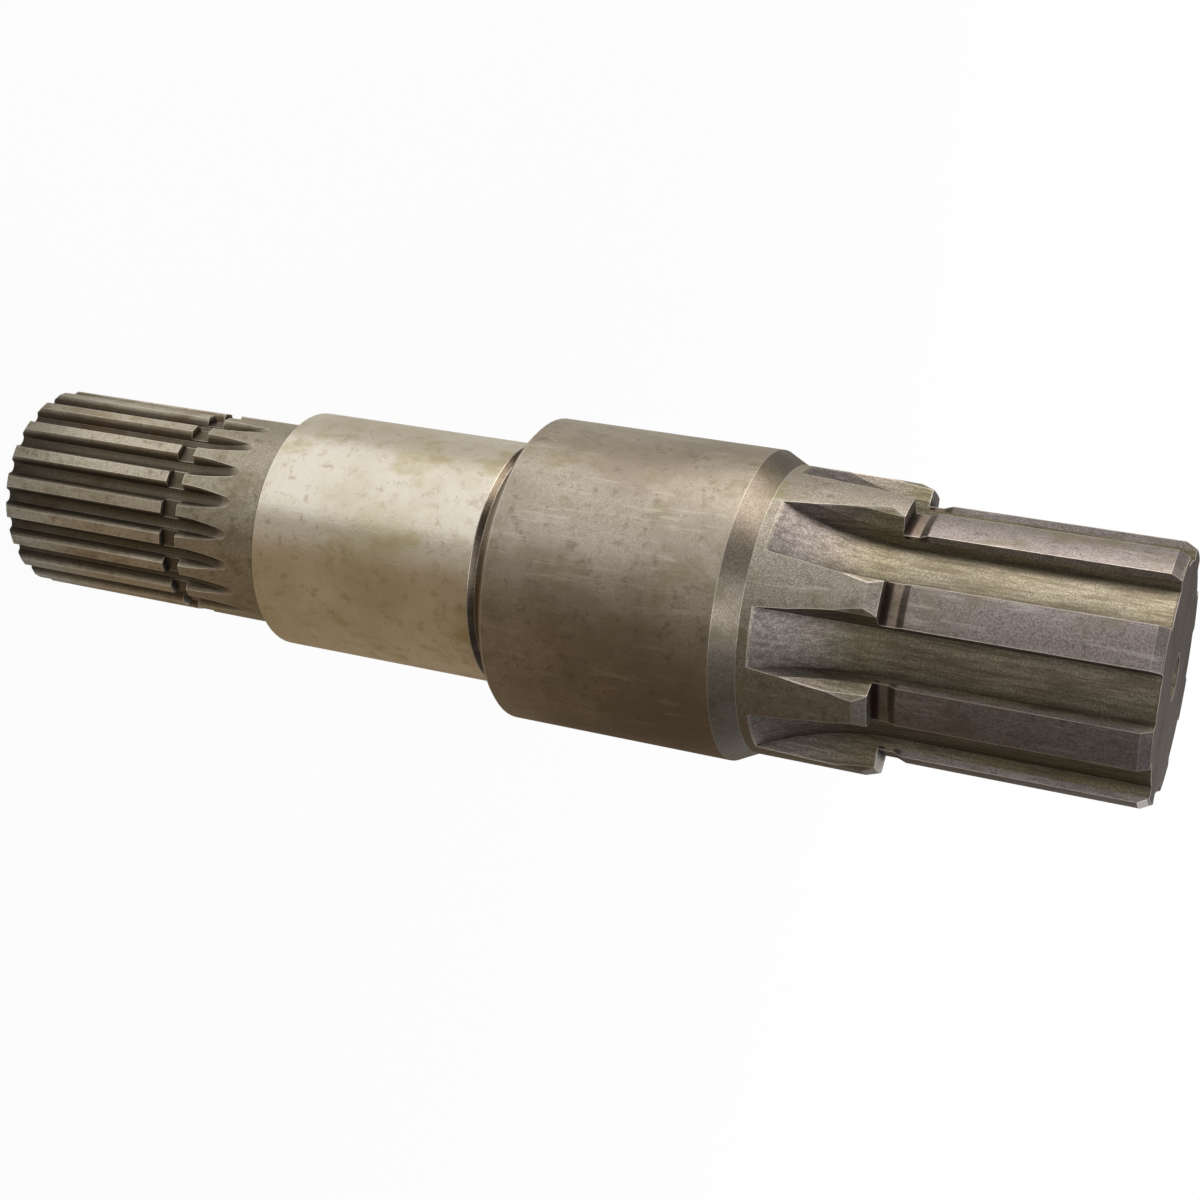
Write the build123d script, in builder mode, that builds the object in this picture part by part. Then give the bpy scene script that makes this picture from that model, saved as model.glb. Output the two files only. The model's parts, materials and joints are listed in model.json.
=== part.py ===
"""Splined transmission shaft, turned and hobbed from one steel bar.

The shaft stands on its fine-spline end: the origin is the centre of that end face
and +Z runs along the axis to the straight-sided spline at the other end.
All sizes are in millimetres.
"""
from build123d import *
from math import acos, asin, cos, degrees, radians, sin, sqrt, tan
import os

# ---- turned lengths, each one step of the shaft, from the fine end upwards ----
fine_spline_length = 38.7      # full-depth teeth, end face to ring groove
ring_groove_width = 3.7        # groove for the retaining ring
fine_collar_length = 19.8      # smooth neck that the hob ran out into
journal_length = 47.8          # ground bearing journal
relief_length = 4.9            # grinding relief between journal and large seat
seat_length = 45.8             # large bearing seat
cone_length = 4.5              # taper from the large seat down to the collar
collar_length = 24.1           # collar that carries the run-outs of the coarse spline
undercut_length = 4.4          # turned undercut behind the collar's shoulder
coarse_spline_length = 44.3    # full-depth straight-sided teeth

# ---- turned diameters ----
seat_diameter = 60.0
journal_diameter = 48.2
relief_depth = 0.7             # below the journal, on the radius
collar_diameter = 55.4
undercut_diameter = 47.0
ring_groove_depth = 1.5        # below the tips of the fine teeth
centre_hole_diameter = 4.0     # lathe centres, drilled in both end faces
centre_cone_diameter = 8.5
centre_hole_depth = 9.0
centre_cone_angle = 60.0

# ---- straight-sided spline: 8 parallel teeth, 8 x 42 x 48 ----
coarse_tooth_count = 8
coarse_tooth_width = 8.0
coarse_root_diameter = 42.0
coarse_tip_diameter = 48.2
coarse_hob_radius = 48.0       # the hob's radius sets how long the run-out is
coarse_hob_past_shoulder = 2.3  # hob's last position beyond the shoulder
hob_relief_height = 6.7        # height of the hob's flank above its tip
hob_relief_taper = 3.4         # degrees that a tooth loses on each side above its tip circle
hob_ramp_height = 5.7          # height at which the hob's chamfering ramp starts
hob_ramp_width = 0.9           # what the ramp takes off each side at the collar
run_out_stations = 8           # sections that the run-out is lofted through

# ---- fine spline: 20 involute teeth, module 2, 30 degree flanks ----
fine_tooth_count = 20
fine_module = 2.0
fine_pressure_angle = 30.0
fine_tip_diameter = 41.6
fine_root_diameter = 37.2
fine_tooth_thickness = 3.03    # on the pitch circle
fine_form_height = 0.35        # above the root, where the round root meets the flanks
fine_hob_radius = 34.0
fine_spline_turn = 3.8         # degrees that a fine space stands past a coarse tooth

# ---- edge breaks ----
end_chamfer_length = 2.0       # at the coarse end
end_chamfer_drop = 1.1
fine_end_chamfer = 1.0
shoulder_bevel_length = 2.5    # bevel on the collar's teeth at the shoulder
shoulder_bevel_drop = 0.9
seat_chamfer = 0.8
journal_chamfer = 0.5
relief_ramp_length = 1.2
undercut_ramp_length = 1.6
cutter_clearance = 1.0         # how far the spline cutters reach past the steel

# ---- heights of the steps ----
groove_bottom_z = fine_spline_length
groove_top_z = groove_bottom_z + ring_groove_width
journal_z = groove_top_z + fine_collar_length
relief_z = journal_z + journal_length
seat_z = relief_z + relief_length
cone_z = seat_z + seat_length
collar_z = cone_z + cone_length
shoulder_z = collar_z + collar_length
coarse_spline_z = shoulder_z + undercut_length
top_z = coarse_spline_z + coarse_spline_length

fine_tip_radius = fine_tip_diameter / 2
journal_radius = journal_diameter / 2
relief_radius = journal_radius - relief_depth
seat_radius = seat_diameter / 2
collar_radius = collar_diameter / 2
undercut_radius = undercut_diameter / 2
coarse_tip_radius = coarse_tip_diameter / 2
coarse_root_radius = coarse_root_diameter / 2


def turned_outline():
    """Half section of the bar as it leaves the lathe, from the axis out and back."""
    seat_edge = seat_radius - seat_chamfer
    journal_edge = journal_radius - journal_chamfer
    points = [
        (0, 0),
        (fine_tip_radius - fine_end_chamfer, 0),
        (fine_tip_radius, fine_end_chamfer),
        (fine_tip_radius, groove_bottom_z),
        (fine_tip_radius - ring_groove_depth, groove_bottom_z),
        (fine_tip_radius - ring_groove_depth, groove_top_z),
        (fine_tip_radius, groove_top_z),
        (fine_tip_radius, journal_z),
        (journal_edge, journal_z),
        (journal_radius, journal_z + journal_chamfer),
        (journal_radius, relief_z),
        (relief_radius, relief_z + relief_ramp_length),
        (relief_radius, seat_z),
        (seat_edge, seat_z),
        (seat_radius, seat_z + seat_chamfer),
        (seat_radius, cone_z),
        (collar_radius, collar_z),
        (collar_radius, shoulder_z - shoulder_bevel_length),
        (collar_radius - shoulder_bevel_drop, shoulder_z),
        (undercut_radius, shoulder_z),
        (undercut_radius, coarse_spline_z - undercut_ramp_length),
        (coarse_tip_radius, coarse_spline_z),
        (coarse_tip_radius, top_z - end_chamfer_length),
        (coarse_tip_radius - end_chamfer_drop, top_z),
        (0, top_z),
    ]
    return points


def polar(radius, angle):
    """Point at a radius, with the angle in degrees measured from the middle of a space."""
    return (radius * sin(radians(angle)), radius * cos(radians(angle)))


def hob_reach(hob_radius, rise):
    """How far along the shaft a hob of this radius travels while its tip climbs by rise."""
    return sqrt(2 * hob_radius * rise - rise**2)


# ---- the turned bar ----
with BuildPart() as turned_bar:
    with BuildSketch(Plane.XZ):
        with BuildLine():
            Polyline(*turned_outline(), close=True)
        make_face()
    revolve(axis=Axis.Z)


# ---- one space of the straight-sided spline, with the hob's run-out on the collar ----
# Seen along the shaft, a space has a floor concentric with the shaft, flanks parallel to the
# middle of each tooth up to the tip circle, then a slight taper and the hob's chamfering ramp.
coarse_half_pitch = 180 / coarse_tooth_count
coarse_floor_angle = coarse_half_pitch - degrees(asin(coarse_tooth_width / 2 / coarse_root_radius))
coarse_tip_angle = coarse_half_pitch - degrees(asin(coarse_tooth_width / 2 / coarse_tip_radius))
coarse_tip_height = coarse_tip_radius - coarse_root_radius
taper_per_height = hob_relief_taper / (hob_relief_height - coarse_tip_height)
ramp_start_angle = coarse_tip_angle + taper_per_height * (hob_ramp_height - coarse_tip_height)
ramp_per_height = (
    taper_per_height
    + degrees(hob_ramp_width / collar_radius) / (hob_relief_height - hob_ramp_height)
)
hob_top_height = hob_relief_height + cutter_clearance
hob_top_angle = ramp_start_angle + ramp_per_height * (hob_top_height - hob_ramp_height)
coarse_hob_z = shoulder_z + coarse_hob_past_shoulder


def coarse_space_section(height, rise):
    """Section of one space across the shaft, with the hob lifted by rise."""
    floor = coarse_root_radius + rise
    flank = [
        polar(floor, coarse_floor_angle),
        polar(floor + coarse_tip_height, coarse_tip_angle),
        polar(floor + hob_ramp_height, ramp_start_angle),
        polar(floor + hob_top_height, hob_top_angle),
    ]
    far_flank = [(-x, y) for x, y in flank]
    with BuildSketch(Plane.XY.offset(height)) as section:
        with BuildLine():
            ThreePointArc(far_flank[0], polar(floor, 0), flank[0])
            Polyline(*flank)
            ThreePointArc(flank[-1], polar(floor + hob_top_height, 0), far_flank[-1])
            Polyline(*far_flank)
        make_face()
    return section.sketch


with BuildPart() as coarse_run_out:
    highest_rise = seat_radius - coarse_root_radius
    widest_angle = degrees(asin(hob_reach(coarse_hob_radius, highest_rise) / coarse_hob_radius))
    for station in range(run_out_stations):
        hob_angle = radians(widest_angle * (1 - station / (run_out_stations - 1)))
        distance = coarse_hob_radius * sin(hob_angle)
        rise = coarse_hob_radius * (1 - cos(hob_angle))
        add(coarse_space_section(coarse_hob_z - distance, rise))
    loft()

with BuildPart() as coarse_space:
    add(coarse_run_out.part)
    add(coarse_space_section(coarse_hob_z, 0))
    extrude(amount=top_z + cutter_clearance - coarse_hob_z)


# ---- one space of the fine spline: involute flanks, round root, and the hob's run-out ----
fine_pitch_radius = fine_module * fine_tooth_count / 2
fine_base_radius = fine_pitch_radius * cos(radians(fine_pressure_angle))
fine_root_radius = fine_root_diameter / 2
fine_form_radius = fine_root_radius + fine_form_height
fine_hob_z = groove_top_z


def involute(angle):
    """Involute function, with the angle and the result in degrees."""
    return degrees(tan(radians(angle))) - angle


def fine_half_space(radius):
    """Half the angle of a space of the fine spline at this radius, in degrees."""
    pressure_angle = degrees(acos(fine_base_radius / radius))
    half_tooth = degrees(fine_tooth_thickness / 2 / fine_pitch_radius)
    half_tooth += involute(fine_pressure_angle) - involute(pressure_angle)
    return 180 / fine_tooth_count - half_tooth


def fine_space_section():
    """Section of one space of the fine spline across the shaft."""
    outer_radius = fine_tip_radius + cutter_clearance
    heights = (fine_form_radius, fine_pitch_radius, outer_radius)
    flank = [polar(radius, fine_half_space(radius)) for radius in heights]
    far_flank = [(-x, y) for x, y in flank]
    with BuildSketch(Plane.XY.offset(fine_hob_z)) as section:
        with BuildLine():
            ThreePointArc(far_flank[0], polar(fine_root_radius, 0), flank[0])
            ThreePointArc(*flank)
            Line(flank[2], far_flank[2])
            ThreePointArc(*far_flank)
        make_face()
    return section.sketch


with BuildPart() as fine_space:
    add(fine_space_section())
    extrude(amount=-(fine_hob_z + cutter_clearance))
    add(fine_space_section())
    hob_axis = Axis((0, fine_root_radius + fine_hob_radius, fine_hob_z), (-1, 0, 0))
    fine_hob_lift = fine_tip_radius - fine_root_radius + cutter_clearance
    run_out_angle = degrees(acos(1 - fine_hob_lift / fine_hob_radius))
    revolve(axis=hob_axis, revolution_arc=run_out_angle)


# ---- the finished shaft ----
with BuildPart() as splined_shaft:
    add(turned_bar.part)
    with PolarLocations(0, coarse_tooth_count, start_angle=coarse_half_pitch):
        add(coarse_space.part, mode=Mode.SUBTRACT)
    with PolarLocations(0, fine_tooth_count, start_angle=fine_spline_turn):
        add(fine_space.part, mode=Mode.SUBTRACT)
    with Locations(Plane.XY.offset(top_z), -Plane.XY):
        CounterSinkHole(centre_hole_diameter / 2, centre_cone_diameter / 2,
                        centre_hole_depth, centre_cone_angle)

splined_shaft.part.label = "splined_shaft"
os.makedirs("parts", exist_ok=True)
export_step(splined_shaft.part, "parts/splined_shaft.step")
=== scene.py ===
"""A used splined shaft, dressed and lit. Lengths are in metres, colours are sRGB hex values."""
import bpy
import json
import math
from mathutils import Matrix, Vector


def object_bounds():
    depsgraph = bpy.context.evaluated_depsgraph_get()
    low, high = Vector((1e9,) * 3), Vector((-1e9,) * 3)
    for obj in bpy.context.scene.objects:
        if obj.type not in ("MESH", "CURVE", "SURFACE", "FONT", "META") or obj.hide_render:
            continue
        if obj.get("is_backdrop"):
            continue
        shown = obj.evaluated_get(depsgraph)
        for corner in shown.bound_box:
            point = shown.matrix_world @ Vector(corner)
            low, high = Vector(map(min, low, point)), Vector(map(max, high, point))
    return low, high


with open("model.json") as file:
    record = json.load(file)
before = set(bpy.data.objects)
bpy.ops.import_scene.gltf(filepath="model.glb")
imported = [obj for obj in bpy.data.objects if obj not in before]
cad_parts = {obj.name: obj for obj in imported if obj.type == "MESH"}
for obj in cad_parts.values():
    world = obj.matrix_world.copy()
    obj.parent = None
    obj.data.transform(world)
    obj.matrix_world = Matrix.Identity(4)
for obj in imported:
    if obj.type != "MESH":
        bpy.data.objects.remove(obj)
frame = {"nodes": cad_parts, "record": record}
cad_low, cad_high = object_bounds()


# ---------------------------------------------------------------------------
# Camera. It looks down on the shaft from beside the straight-sided spline and is rolled
# so that the shaft, which stands on its fine end, lies across the picture.
# ---------------------------------------------------------------------------
EYE = Vector((0.0655, -0.3714, 0.2721))
AIM = Vector((0.0042, 0.0007, 0.1280))
ROLL = math.radians(-100.0)
LENS_MM = 61.7
SENSOR_MM = 36.0

camera = bpy.data.objects.new("camera", bpy.data.cameras.new("camera"))
bpy.context.scene.collection.objects.link(camera)
camera.data.lens = LENS_MM
camera.data.sensor_width = SENSOR_MM
camera.data.clip_start = 0.02
level = (AIM - EYE).to_track_quat("-Z", "Y").to_matrix()
camera.matrix_world = Matrix.Translation(EYE) @ (level @ Matrix.Rotation(-ROLL, 3, "Z")).to_4x4()
bpy.context.scene.camera = camera
bpy.context.scene.view_settings.view_transform = "Standard"


# ---------------------------------------------------------------------------
# The shaft: one bar of alloy steel, turned, hobbed, hardened, and ground on its journal and
# bearing seat. It has been in use: the ground faces are polished, the rest is stained by oil.
# ---------------------------------------------------------------------------
MM = 0.001
shaft = frame["nodes"]["splined_shaft"]
mounts = {mount["name"]: mount for mount in frame["record"]["mounts"]}


def ends_of(name):
    """Lowest and highest Z of a cylindrical mount, from the record."""
    middle = mounts[name]["pos_m"][2]
    half = mounts[name]["dims"]["length_mm"] / 2 * MM
    return middle - half, middle + half


JOURNAL_LOW, JOURNAL_HIGH = ends_of("journal")
JOURNAL_EDGE = JOURNAL_LOW - 0.6 * MM   # just below the journal's lower chamfer
SEAT_LOW, SEAT_HIGH = ends_of("bearing_seat")
SEAT_EDGE = SEAT_LOW - 0.4 * MM     # half way up the seat's lower chamfer
NECK_LOW = JOURNAL_LOW - 20.3 * MM  # the upper wall of the ring groove
TOP = cad_high.z
CONE_TOP = SEAT_HIGH + 4.5 * MM
SHOULDER = TOP - 48.7 * MM          # where the collar ends and the undercut begins
SHOULDER_BEVEL = SHOULDER - 2.5 * MM
END_FACE = TOP - 0.2 * MM
COLLAR_FACE = 27.5 * MM             # just under the collar's own radius
BEVEL_FACE = 26.5 * MM              # just under the thin end of the shoulder's bevel
COARSE_FACE = 22.9 * MM             # a little under the floor of the undercut
FINE_FACE = 20.7 * MM               # just under the tips of the fine teeth

MATH = "ShaderNodeMath"
VECTOR_MATH = "ShaderNodeVectorMath"
RANGE = "ShaderNodeMapRange"
MIX = "ShaderNodeMix"
MAPPING = "ShaderNodeMapping"
NOISE = "ShaderNodeTexNoise"
SMOOTH = "SMOOTHSTEP"

# Each pattern: factor on X, Y and Z (under 1 draws it out), count in 100 mm, detail, roughness
PATTERNS = {
    "cloud": ((1, 1, 1), 3.8, 5.0, 0.6),              # stains 20 to 30 mm across
    "blotch": ((1, 1, 0.7), 11, 5.0, 0.65),           # stains 9 mm across
    "mottle": ((1, 1, 1), 42, 5.0, 0.75),             # patches of oxide 2 mm across
    "grain": ((1, 1, 1), 330, 3.0, 0.75),             # texture 0.3 mm across
    "fleck": ((1, 1, 1), 150, 3.0, 0.7),              # pits 0.7 mm apart
    "streak": ((1, 1, 0.07), 120, 6.0, 0.8),          # cutter marks along a space, drawn 0.8 mm apart
    "ring": ((0.06, 0.06, 1), 170, 4.0, 0.7),         # turning marks, drawn 0.6 mm apart
    "rub": ((1, 0.5, 0.10), 60, 5.0, 0.75),           # slanting rubs 2 mm apart
}
COUNTED_LENGTH = 100 * MM
RUB_TURN = (0.9, 0.3, 0.0)          # radians, so that the rubs lie across the shaft's length

# Where each mark shows: its pattern, the values between which it grows, and its strength
MARKS = {
    "clouds": ("cloud", 0.42, 0.62, 0.9),
    "stains": ("blotch", 0.50, 0.68, 0.8),
    "oxide": ("mottle", 0.52, 0.68, 0.8),
    "texture": ("grain", 0.37, 0.63, 0.8),
    "pits": ("fleck", 0.64, 0.74, 0.5),
    "streaks": ("streak", 0.42, 0.60, 0.8),
    "rubs": ("rub", 0.54, 0.68, 0.4),
    "turning": ("ring", 0.35, 0.65, 0.25),
    "specks": ("grain", 0.66, 0.76, 0.5),
}

# The clean colour of each finish, then the marks on it with the colour they bring
FINISHES = {
    "collar": ("#aea69d", ("texture", "#71695f"), ("stains", "#8c8674"), ("oxide", "#796f64"),
               ("rubs", "#c4bcb2"), ("pits", "#4f463d"), ("specks", "#d0c9bf")),
    "tips": ("#a19997", ("texture", "#69605e"), ("stains", "#7d7562"), ("oxide", "#6c6361"),
             ("rubs", "#c6bfbc"), ("pits", "#4b433d"), ("specks", "#cdc6c2")),
    "space": ("#a29b8b", ("clouds", "#9a9276"), ("streaks", "#6a6150"), ("texture", "#665e50"),
              ("pits", "#423b30"), ("specks", "#c8c0b2")),
    "run_out": ("#a59d9b", ("streaks", "#6c645f"), ("texture", "#655d57"), ("pits", "#403833"),
                ("specks", "#cbc4bc")),
    "fine_tips": ("#c6beaf", ("texture", "#989080"), ("stains", "#92866e"), ("oxide", "#8a7f6a"),
                  ("pits", "#625341"), ("specks", "#d6cdbf")),
    # The neck's colours are darker than those of the fine teeth: painted shade
    "neck": ("#b3ab9c", ("texture", "#837b6d"), ("stains", "#857a63"), ("oxide", "#7b715e"),
             ("specks", "#cfc7ba")),
    "fine_space": ("#726a5c", ("texture", "#564d42"), ("stains", "#5b4c3b")),
    "journal": ("#dcd5cb", ("clouds", "#cbc3ae"), ("stains", "#b6aa84"), ("oxide", "#b9ae9a"),
                ("pits", "#8b7f6c")),
    "relief": ("#6a5f53", ("turning", "#4c4339"), ("stains", "#4a3a2c")),
    "seat": ("#b5aca0", ("clouds", "#958b7d"), ("stains", "#8b8362"), ("texture", "#958b7f"),
             ("oxide", "#847a6d"),
             ("rubs", "#c8c0b5"), ("pits", "#5c5247"), ("specks", "#cdc5ba")),
    # The cone's colours are darker than the collar's: painted shade on its upward-facing slope
    "cone": ("#93897e", ("texture", "#6a6054"), ("stains", "#6f6754"), ("specks", "#b5ada2")),
    "end_face": ("#5d4d40", ("stains", "#46392d"), ("oxide", "#2b221a"), ("texture", "#3a3027"),
                 ("specks", "#b0a290")),
}
# Corner colours: dark dirt and rust, laid on together with painted shade in the corners
DARK_DIRT_AND_SHADE = "#1d1712"
RUST_AND_SHADE = "#4a2d20"
OIL_STAIN = "#8a835f"
BRIGHT_EDGE = "#ded7cc"             # edges worn to bright metal, with a painted highlight along them


def linear(hex_colour):
    """sRGB hex to a linear RGBA tuple."""
    channels = [int(hex_colour[i:i + 2], 16) / 255 for i in (1, 3, 5)]
    curve = [c / 12.92 if c <= 0.04045 else ((c + 0.055) / 1.055) ** 2.4 for c in channels]
    return (*curve, 1.0)


def add_node(tree, kind, inputs, out=0, **settings):
    """Adds a node with its settings, links or sets its inputs, and returns one of its outputs."""
    node = tree.nodes.new(kind)
    for name, value in settings.items():
        setattr(node, name, value)
    for name, value in inputs.items():
        if isinstance(value, bpy.types.NodeSocket):
            tree.links.new(value, node.inputs[name])
        else:
            node.inputs[name].default_value = linear(value) if isinstance(value, str) else value
    return node.outputs[out] if node.outputs else node


def new_material(name):
    """An empty node material and its tree."""
    material = bpy.data.materials.new(name)
    material.use_nodes = True
    material.node_tree.nodes.clear()
    return material, material.node_tree


# Hardened steel: smooth and pale where ground, dull and oily where only cut
steel, tree = new_material("hardened_alloy_steel")
place = add_node(tree, "ShaderNodeTexCoord", {}, "Object")
height = add_node(tree, "ShaderNodeSeparateXYZ", {0: place}, "Z")
across = add_node(tree, VECTOR_MATH, {0: place, 1: (1, 1, 0)}, operation="MULTIPLY")
radius = add_node(tree, VECTOR_MATH, {0: across}, "Value", operation="LENGTH")

pattern = {}
for name, (stretch, count, detail, roughness) in PATTERNS.items():
    turn = RUB_TURN if name == "rub" else (0, 0, 0)
    laid = add_node(tree, MAPPING, {"Vector": place, "Rotation": turn, "Scale": stretch})
    pattern[name] = add_node(tree, NOISE, {
        "Vector": laid, "Scale": count / COUNTED_LENGTH, "Detail": detail, "Roughness": roughness})

mark = {}
for name, (source, low, high, strength) in MARKS.items():
    mark[name] = add_node(tree, RANGE, {
        "Value": pattern[source], "From Min": low, "From Max": high, "To Max": strength},
        interpolation_type=SMOOTH)

finish = {}
for name, (clean, *layers) in FINISHES.items():
    finish[name] = clean
    for layer, tint in layers:
        finish[name] = add_node(tree, MIX, {0: mark[layer], 6: finish[name], 7: tint}, 2,
                                data_type="RGBA")

# Where each finish begins, going up the shaft; each one replaces the finish below it
SOFT = 0.15 * MM
past = {}
for name, start in (("neck", NECK_LOW), ("journal", JOURNAL_EDGE), ("relief", JOURNAL_HIGH),
                    ("seat", SEAT_EDGE), ("cone", SEAT_HIGH), ("collar", CONE_TOP),
                    ("tips", SHOULDER), ("end_face", END_FACE)):
    past[name] = add_node(tree, RANGE, {"Value": height, "From Min": start - SOFT, "From Max": start + SOFT})

# The cut spaces lie under the faces that the teeth were cut in
FINE_DEPTH = 0.8 * MM               # below the fine face, where the finish is all that of a space
bevel_slope = add_node(tree, RANGE, {
    "Value": height, "From Min": SHOULDER_BEVEL, "From Max": SHOULDER, "To Min": COLLAR_FACE,
    "To Max": BEVEL_FACE})
upper_face = add_node(tree, MIX, {0: past["tips"], 2: bevel_slope, 3: COARSE_FACE})
space_depth = add_node(tree, MATH, {0: upper_face, 1: radius}, operation="SUBTRACT")
in_space = add_node(tree, RANGE, {"Value": space_depth, "From Min": 0.0, "From Max": SOFT})
in_fine_space = add_node(tree, RANGE, {
    "Value": radius, "From Min": FINE_FACE, "From Max": FINE_FACE - FINE_DEPTH})

fine_face = add_node(tree, MIX, {0: past["neck"], 6: finish["fine_tips"], 7: finish["neck"]}, 2,
                     data_type="RGBA")
fine = add_node(tree, MIX, {0: in_fine_space, 6: fine_face, 7: finish["fine_space"]}, 2,
                data_type="RGBA")
RUN_OUT_LOW = SHOULDER - 16 * MM
RUN_OUT_HIGH = SHOULDER - 3 * MM
along_run_out = add_node(tree, RANGE, {
    "Value": height, "From Min": RUN_OUT_LOW, "From Max": RUN_OUT_HIGH})
run_out = add_node(tree, MIX, {0: along_run_out, 6: finish["run_out"], 7: finish["space"]}, 2,
                   data_type="RGBA")
collar = add_node(tree, MIX, {0: in_space, 6: finish["collar"], 7: run_out}, 2, data_type="RGBA")

# The undercut behind the shoulder: rust-brown with painted shade at the wall, oily in the middle, painted
# shade on its ramp
undercut = finish["tips"]
for start, end, tint, strength in (
        (0.0, 1.3 * MM, "#33211c", 0.85),
        (1.3 * MM, 3.0 * MM, "#85704f", 0.40),
        (3.0 * MM, 4.4 * MM, "#3d352b", 0.75)):
    rise = add_node(tree, RANGE, {"Value": height, "From Min": SHOULDER + start - 2 * SOFT,
                                  "From Max": SHOULDER + start + 2 * SOFT, "To Max": strength})
    fall = add_node(tree, RANGE, {"Value": height, "From Min": SHOULDER + end + 2 * SOFT,
                                  "From Max": SHOULDER + end - 2 * SOFT})
    band = add_node(tree, MATH, {0: rise, 1: fall}, operation="MULTIPLY")
    undercut = add_node(tree, MIX, {0: band, 6: undercut, 7: tint}, 2, data_type="RGBA")
tips = add_node(tree, MIX, {0: in_space, 6: undercut, 7: finish["space"]}, 2, data_type="RGBA")
colour = fine
for name, paint in (("journal", finish["journal"]), ("relief", finish["relief"]), ("seat", finish["seat"]),
                    ("cone", finish["cone"]), ("collar", collar), ("tips", tips),
                    ("end_face", finish["end_face"])):
    colour = add_node(tree, MIX, {0: past[name], 6: colour, 7: paint}, 2, data_type="RGBA")

# A broken line of old oil round the collar, just above the cone
OIL_TOP = CONE_TOP + 2.6 * MM
OIL_FULL = CONE_TOP + 0.6 * MM
OIL_STRENGTH = 0.7
oil_fade = add_node(tree, RANGE, {
    "Value": height, "From Min": OIL_TOP, "From Max": OIL_FULL, "To Max": OIL_STRENGTH},
    interpolation_type=SMOOTH)
oil_start = add_node(tree, MATH, {0: past["collar"], 1: oil_fade}, operation="MULTIPLY")
oil_line = add_node(tree, MATH, {0: mark["stains"], 1: oil_start}, operation="MULTIPLY")
colour = add_node(tree, MIX, {0: oil_line, 6: colour, 7: OIL_STAIN}, 2, data_type="RGBA")

# Dirt and painted shade in the corners, brown in places, and thinner below the journal
CORNER_REACH = 4.0 * MM
CORNER_START = 0.84                 # share of open air at which dirt and painted shade begin
CORNER_FULL = 0.42
LOW_END_DIRT_AND_SHADE = 0.62
open_air = add_node(tree, "ShaderNodeAmbientOcclusion", {"Distance": CORNER_REACH}, "AO", samples=8)
corner = add_node(tree, RANGE, {"Value": open_air, "From Min": CORNER_START, "From Max": CORNER_FULL},
                  interpolation_type=SMOOTH)
corner_share = add_node(tree, MIX, {0: past["journal"], 2: LOW_END_DIRT_AND_SHADE, 3: 1.0})
corner_dirt_and_shade = add_node(tree, MATH, {0: corner, 1: corner_share}, operation="MULTIPLY")
dirt_and_shade = add_node(tree, MIX, {0: mark["stains"], 6: DARK_DIRT_AND_SHADE, 7: RUST_AND_SHADE}, 2, data_type="RGBA")
colour = add_node(tree, MIX, {0: corner_dirt_and_shade, 6: colour, 7: dirt_and_shade}, 2, data_type="RGBA")

# Edges rubbed bright, and a painted highlight along them: there the rounded normal leans away from the flat
# one
EDGE_WIDTH = 0.3 * MM
EDGE_START = 0.995                  # cosine of the lean at which an edge begins
EDGE_FULL = 0.95
flat_normal = add_node(tree, "ShaderNodeNewGeometry", {}, "Normal")
rounded_normal = add_node(tree, "ShaderNodeBevel", {"Radius": EDGE_WIDTH}, samples=6)
alike = add_node(tree, VECTOR_MATH, {0: rounded_normal, 1: flat_normal}, "Value", operation="DOT_PRODUCT")
edge = add_node(tree, RANGE, {"Value": alike, "From Min": EDGE_START, "From Max": EDGE_FULL})
edge_open = add_node(tree, RANGE, {"Value": open_air, "From Min": 0.66, "From Max": 0.82})
edge_kept = add_node(tree, RANGE, {"Value": pattern["blotch"], "From Min": 0.34, "From Max": 0.50,
                                   "To Min": 0.55})
wear_and_highlight = add_node(tree, MATH, {0: edge, 1: edge_open}, operation="MULTIPLY")
wear_and_highlight = add_node(tree, MATH, {0: wear_and_highlight, 1: edge_kept}, operation="MULTIPLY")
colour = add_node(tree, MIX, {0: wear_and_highlight, 6: colour, 7: BRIGHT_EDGE}, 2, data_type="RGBA")

# Roughness: the journal is ground finest, the seat less, and the cut faces are dull
JOURNAL_ROUGHNESS = 0.27
SEAT_ROUGHNESS = 0.38
CUT_ROUGHNESS = 0.46
SKIN_ROUGHNESS = 0.7
ROUGHNESS_SPREAD = 0.05
CORNER_ROUGHNESS = 0.3                # what the full corner mask adds
dullness = add_node(tree, MIX, {0: past["journal"], 2: CUT_ROUGHNESS, 3: JOURNAL_ROUGHNESS})
dullness = add_node(tree, MIX, {0: past["seat"], 2: dullness, 3: SEAT_ROUGHNESS})
dullness = add_node(tree, MIX, {0: past["collar"], 2: dullness, 3: CUT_ROUGHNESS})
dullness = add_node(tree, MIX, {0: past["end_face"], 2: dullness, 3: SKIN_ROUGHNESS})
patchy = add_node(tree, RANGE, {"Value": pattern["blotch"], "From Min": 0.3, "From Max": 0.7,
                                "To Min": -ROUGHNESS_SPREAD, "To Max": ROUGHNESS_SPREAD})
dullness = add_node(tree, MATH, {0: dullness, 1: patchy}, operation="ADD")
corner_roughness = add_node(tree, MATH, {0: corner_dirt_and_shade, 1: CORNER_ROUGHNESS}, operation="MULTIPLY")
dullness = add_node(tree, MATH, {0: dullness, 1: corner_roughness}, operation="ADD", use_clamp=True)

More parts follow.
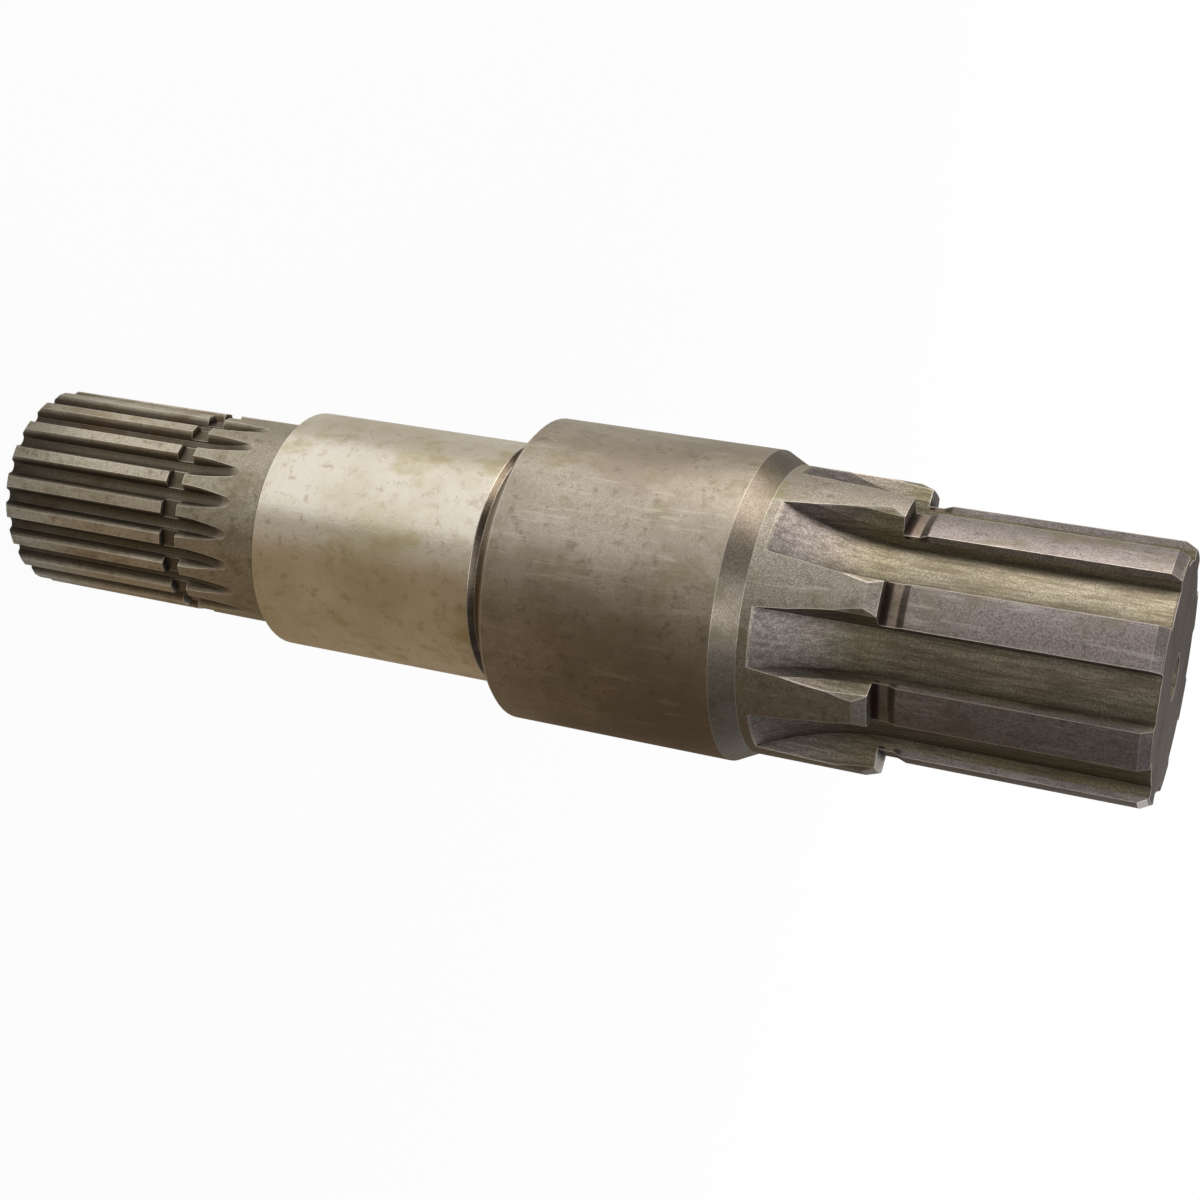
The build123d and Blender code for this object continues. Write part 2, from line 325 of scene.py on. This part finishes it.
# Relief: fine texture, pits, cutter marks and the rough skin of the coarse end face
PIT_SHARE = 0.8
SKIN_SHARE = 5.0
GROUND_TEXTURE = 0.15
CUT_TEXTURE = 0.9
RELIEF_DEPTH = 0.05 * MM            # for a relief of 1
RELIEF_STRENGTH = 0.6
cut_streaks = add_node(tree, MATH, {0: pattern["streak"], 1: in_space}, operation="MULTIPLY")
rough_skin = add_node(tree, MATH, {0: pattern["mottle"], 1: past["end_face"]}, operation="MULTIPLY")
rough_skin = add_node(tree, MATH, {0: rough_skin, 1: SKIN_SHARE}, operation="MULTIPLY")
pit_depth = add_node(tree, MATH, {0: mark["pits"], 1: -PIT_SHARE}, operation="MULTIPLY")
texture_share = add_node(tree, RANGE, {
    "Value": dullness, "From Min": JOURNAL_ROUGHNESS, "From Max": CUT_ROUGHNESS,
    "To Min": GROUND_TEXTURE, "To Max": CUT_TEXTURE})
relief = add_node(tree, MATH, {0: pattern["grain"], 1: texture_share}, operation="MULTIPLY")
for part in (pattern["mottle"], pit_depth, cut_streaks, rough_skin):
    relief = add_node(tree, MATH, {0: relief, 1: part}, operation="ADD")
bumps = add_node(tree, "ShaderNodeBump", {
    "Height": relief, "Strength": RELIEF_STRENGTH, "Distance": RELIEF_DEPTH})

# The coarse end keeps its dull oxide skin, which is less of a mirror than bare steel
SKIN_METAL = 0.25
bare_metal = add_node(tree, RANGE, {"Value": past["end_face"], "To Min": 1.0, "To Max": SKIN_METAL})
surface = add_node(tree, "ShaderNodeBsdfPrincipled", {
    "Base Color": colour, "Metallic": bare_metal, "Roughness": dullness, "Normal": bumps})
add_node(tree, "ShaderNodeOutputMaterial", {"Surface": surface})
shaft.data.materials.clear()
shaft.data.materials.append(steel)


# ---------------------------------------------------------------------------
# Studio: a white floor that runs out of sight, cards that lie on it round the shaft and show
# only in its reflections (bright on one side, brown on the other), and three soft lamps.
# ---------------------------------------------------------------------------
FLOOR_HALF = 3.0
FLOOR_LIFT = 0.95                   # share of plain white that the camera sees near the shaft
CARD_LIFT = 0.5 * MM
FADE_START = 0.2                    # metres from the shaft's foot
FADE_END = 1.2
CARD_STEPS = 12
CARD_NEAR = 0.035
CARD_SPLIT = 0.30                   # where the brown card turns darker
CARD_FAR = 2.5


def stage_sheet(name, corners, surface, seen):
    """A flat sheet of the studio, which is not part of the shaft."""
    mesh = bpy.data.meshes.new(name)
    mesh.from_pydata(corners, [], [tuple(range(len(corners)))])
    mesh.materials.append(surface)
    sheet = bpy.data.objects.new(name, mesh)
    bpy.context.scene.collection.objects.link(sheet)
    sheet.visible_camera = seen
    sheet.visible_diffuse = seen
    sheet.visible_shadow = False
    sheet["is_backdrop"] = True


# Matt white floor paint, which the camera sees mixed with plain white, more so further out
floor_paint, tree = new_material("white_floor_paint")
paint = add_node(tree, "ShaderNodeBsdfDiffuse", {"Color": "#e4e4e2"})
white = add_node(tree, "ShaderNodeEmission", {"Color": "#ffffff", "Strength": 1.0})
camera_ray = add_node(tree, "ShaderNodeLightPath", {}, "Is Camera Ray")
floor_place = add_node(tree, "ShaderNodeTexCoord", {}, "Object")
from_shaft = add_node(tree, VECTOR_MATH, {0: floor_place}, "Value", operation="LENGTH")
whiteness = add_node(tree, RANGE, {"Value": from_shaft, "From Min": FADE_START, "From Max": FADE_END,
                                   "To Min": FLOOR_LIFT, "To Max": 1.0}, interpolation_type=SMOOTH)
lift = add_node(tree, MATH, {0: camera_ray, 1: whiteness}, operation="MULTIPLY")
floor_mix = add_node(tree, "ShaderNodeMixShader", {0: lift, 1: paint, 2: white})
add_node(tree, "ShaderNodeOutputMaterial", {"Surface": floor_mix})
floor_corners = [(-FLOOR_HALF, -FLOOR_HALF, 0), (FLOOR_HALF, -FLOOR_HALF, 0),
                 (FLOOR_HALF, FLOOR_HALF, 0), (-FLOOR_HALF, FLOOR_HALF, 0)]
stage_sheet("floor", floor_corners, floor_paint, True)

# Each card: name, first and last angle in degrees, nearest and farthest edge, colour, strength
for name, start, end, near, far, tint, strength in (
        ("bright_card", 190, 268, CARD_NEAR, CARD_FAR, "#fffdf8", 1.08),
        ("side_card", 268, 296, CARD_NEAR, CARD_FAR, "#f4ead8", 0.50),
        ("pale_card", 120, 190, CARD_NEAR, CARD_FAR, "#fff8ec", 0.62),
        ("near_brown_card", -64, 120, CARD_NEAR, CARD_SPLIT, "#d9c2a2", 0.48),
        ("brown_card", -64, 120, CARD_SPLIT, CARD_FAR, "#c9ad8b", 0.24)):
    card_glow, tree = new_material(name)
    light = add_node(tree, "ShaderNodeEmission", {"Color": tint, "Strength": strength})
    add_node(tree, "ShaderNodeOutputMaterial", {"Surface": light})
    turns = [math.radians(start + (end - start) * i / CARD_STEPS) for i in range(CARD_STEPS + 1)]
    outer = [(far * math.cos(turn), far * math.sin(turn), CARD_LIFT) for turn in turns]
    inner = [(near * math.cos(turn), near * math.sin(turn), CARD_LIFT) for turn in reversed(turns)]
    stage_sheet(name, outer + inner, card_glow, False)

# Each lamp: name, place, size in metres, watts, colour; all are aimed at the middle of the shaft
for name, stand, size, watts, tint in (
        ("key_lamp", (-0.75, -0.30, 0.30), 0.6, 5.0, "#fffaf2"),
        ("front_lamp", (0.30, -0.90, 0.75), 0.7, 3.0, "#ffffff"),
        ("back_lamp", (0.25, 0.85, 0.60), 0.7, 3.0, "#ffffff")):
    lamp = bpy.data.objects.new(name, bpy.data.lights.new(name, "AREA"))
    lamp.data.size = size
    lamp.data.energy = watts
    lamp.data.color = linear(tint)[:3]
    lamp.location = stand
    lamp.rotation_euler = (Vector((0, 0, TOP / 2)) - Vector(stand)).to_track_quat("-Z", "Y").to_euler()
    lamp.visible_camera = False
    bpy.context.scene.collection.objects.link(lamp)

# White air for the camera, dimmer air for the shaft
AIR_STRENGTH = 0.24
world = bpy.data.worlds.new("studio_air")
bpy.context.scene.world = world
world.use_nodes = True
air = world.node_tree
air.nodes.clear()
seen_by_camera = add_node(air, "ShaderNodeLightPath", {}, "Is Camera Ray")
air_strength = add_node(air, MATH, {0: seen_by_camera, 1: AIR_STRENGTH}, operation="MAXIMUM")
sky = add_node(air, "ShaderNodeBackground", {"Color": "#ffffff", "Strength": air_strength})
add_node(air, "ShaderNodeOutputWorld", {"Surface": sky})

low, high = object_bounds()
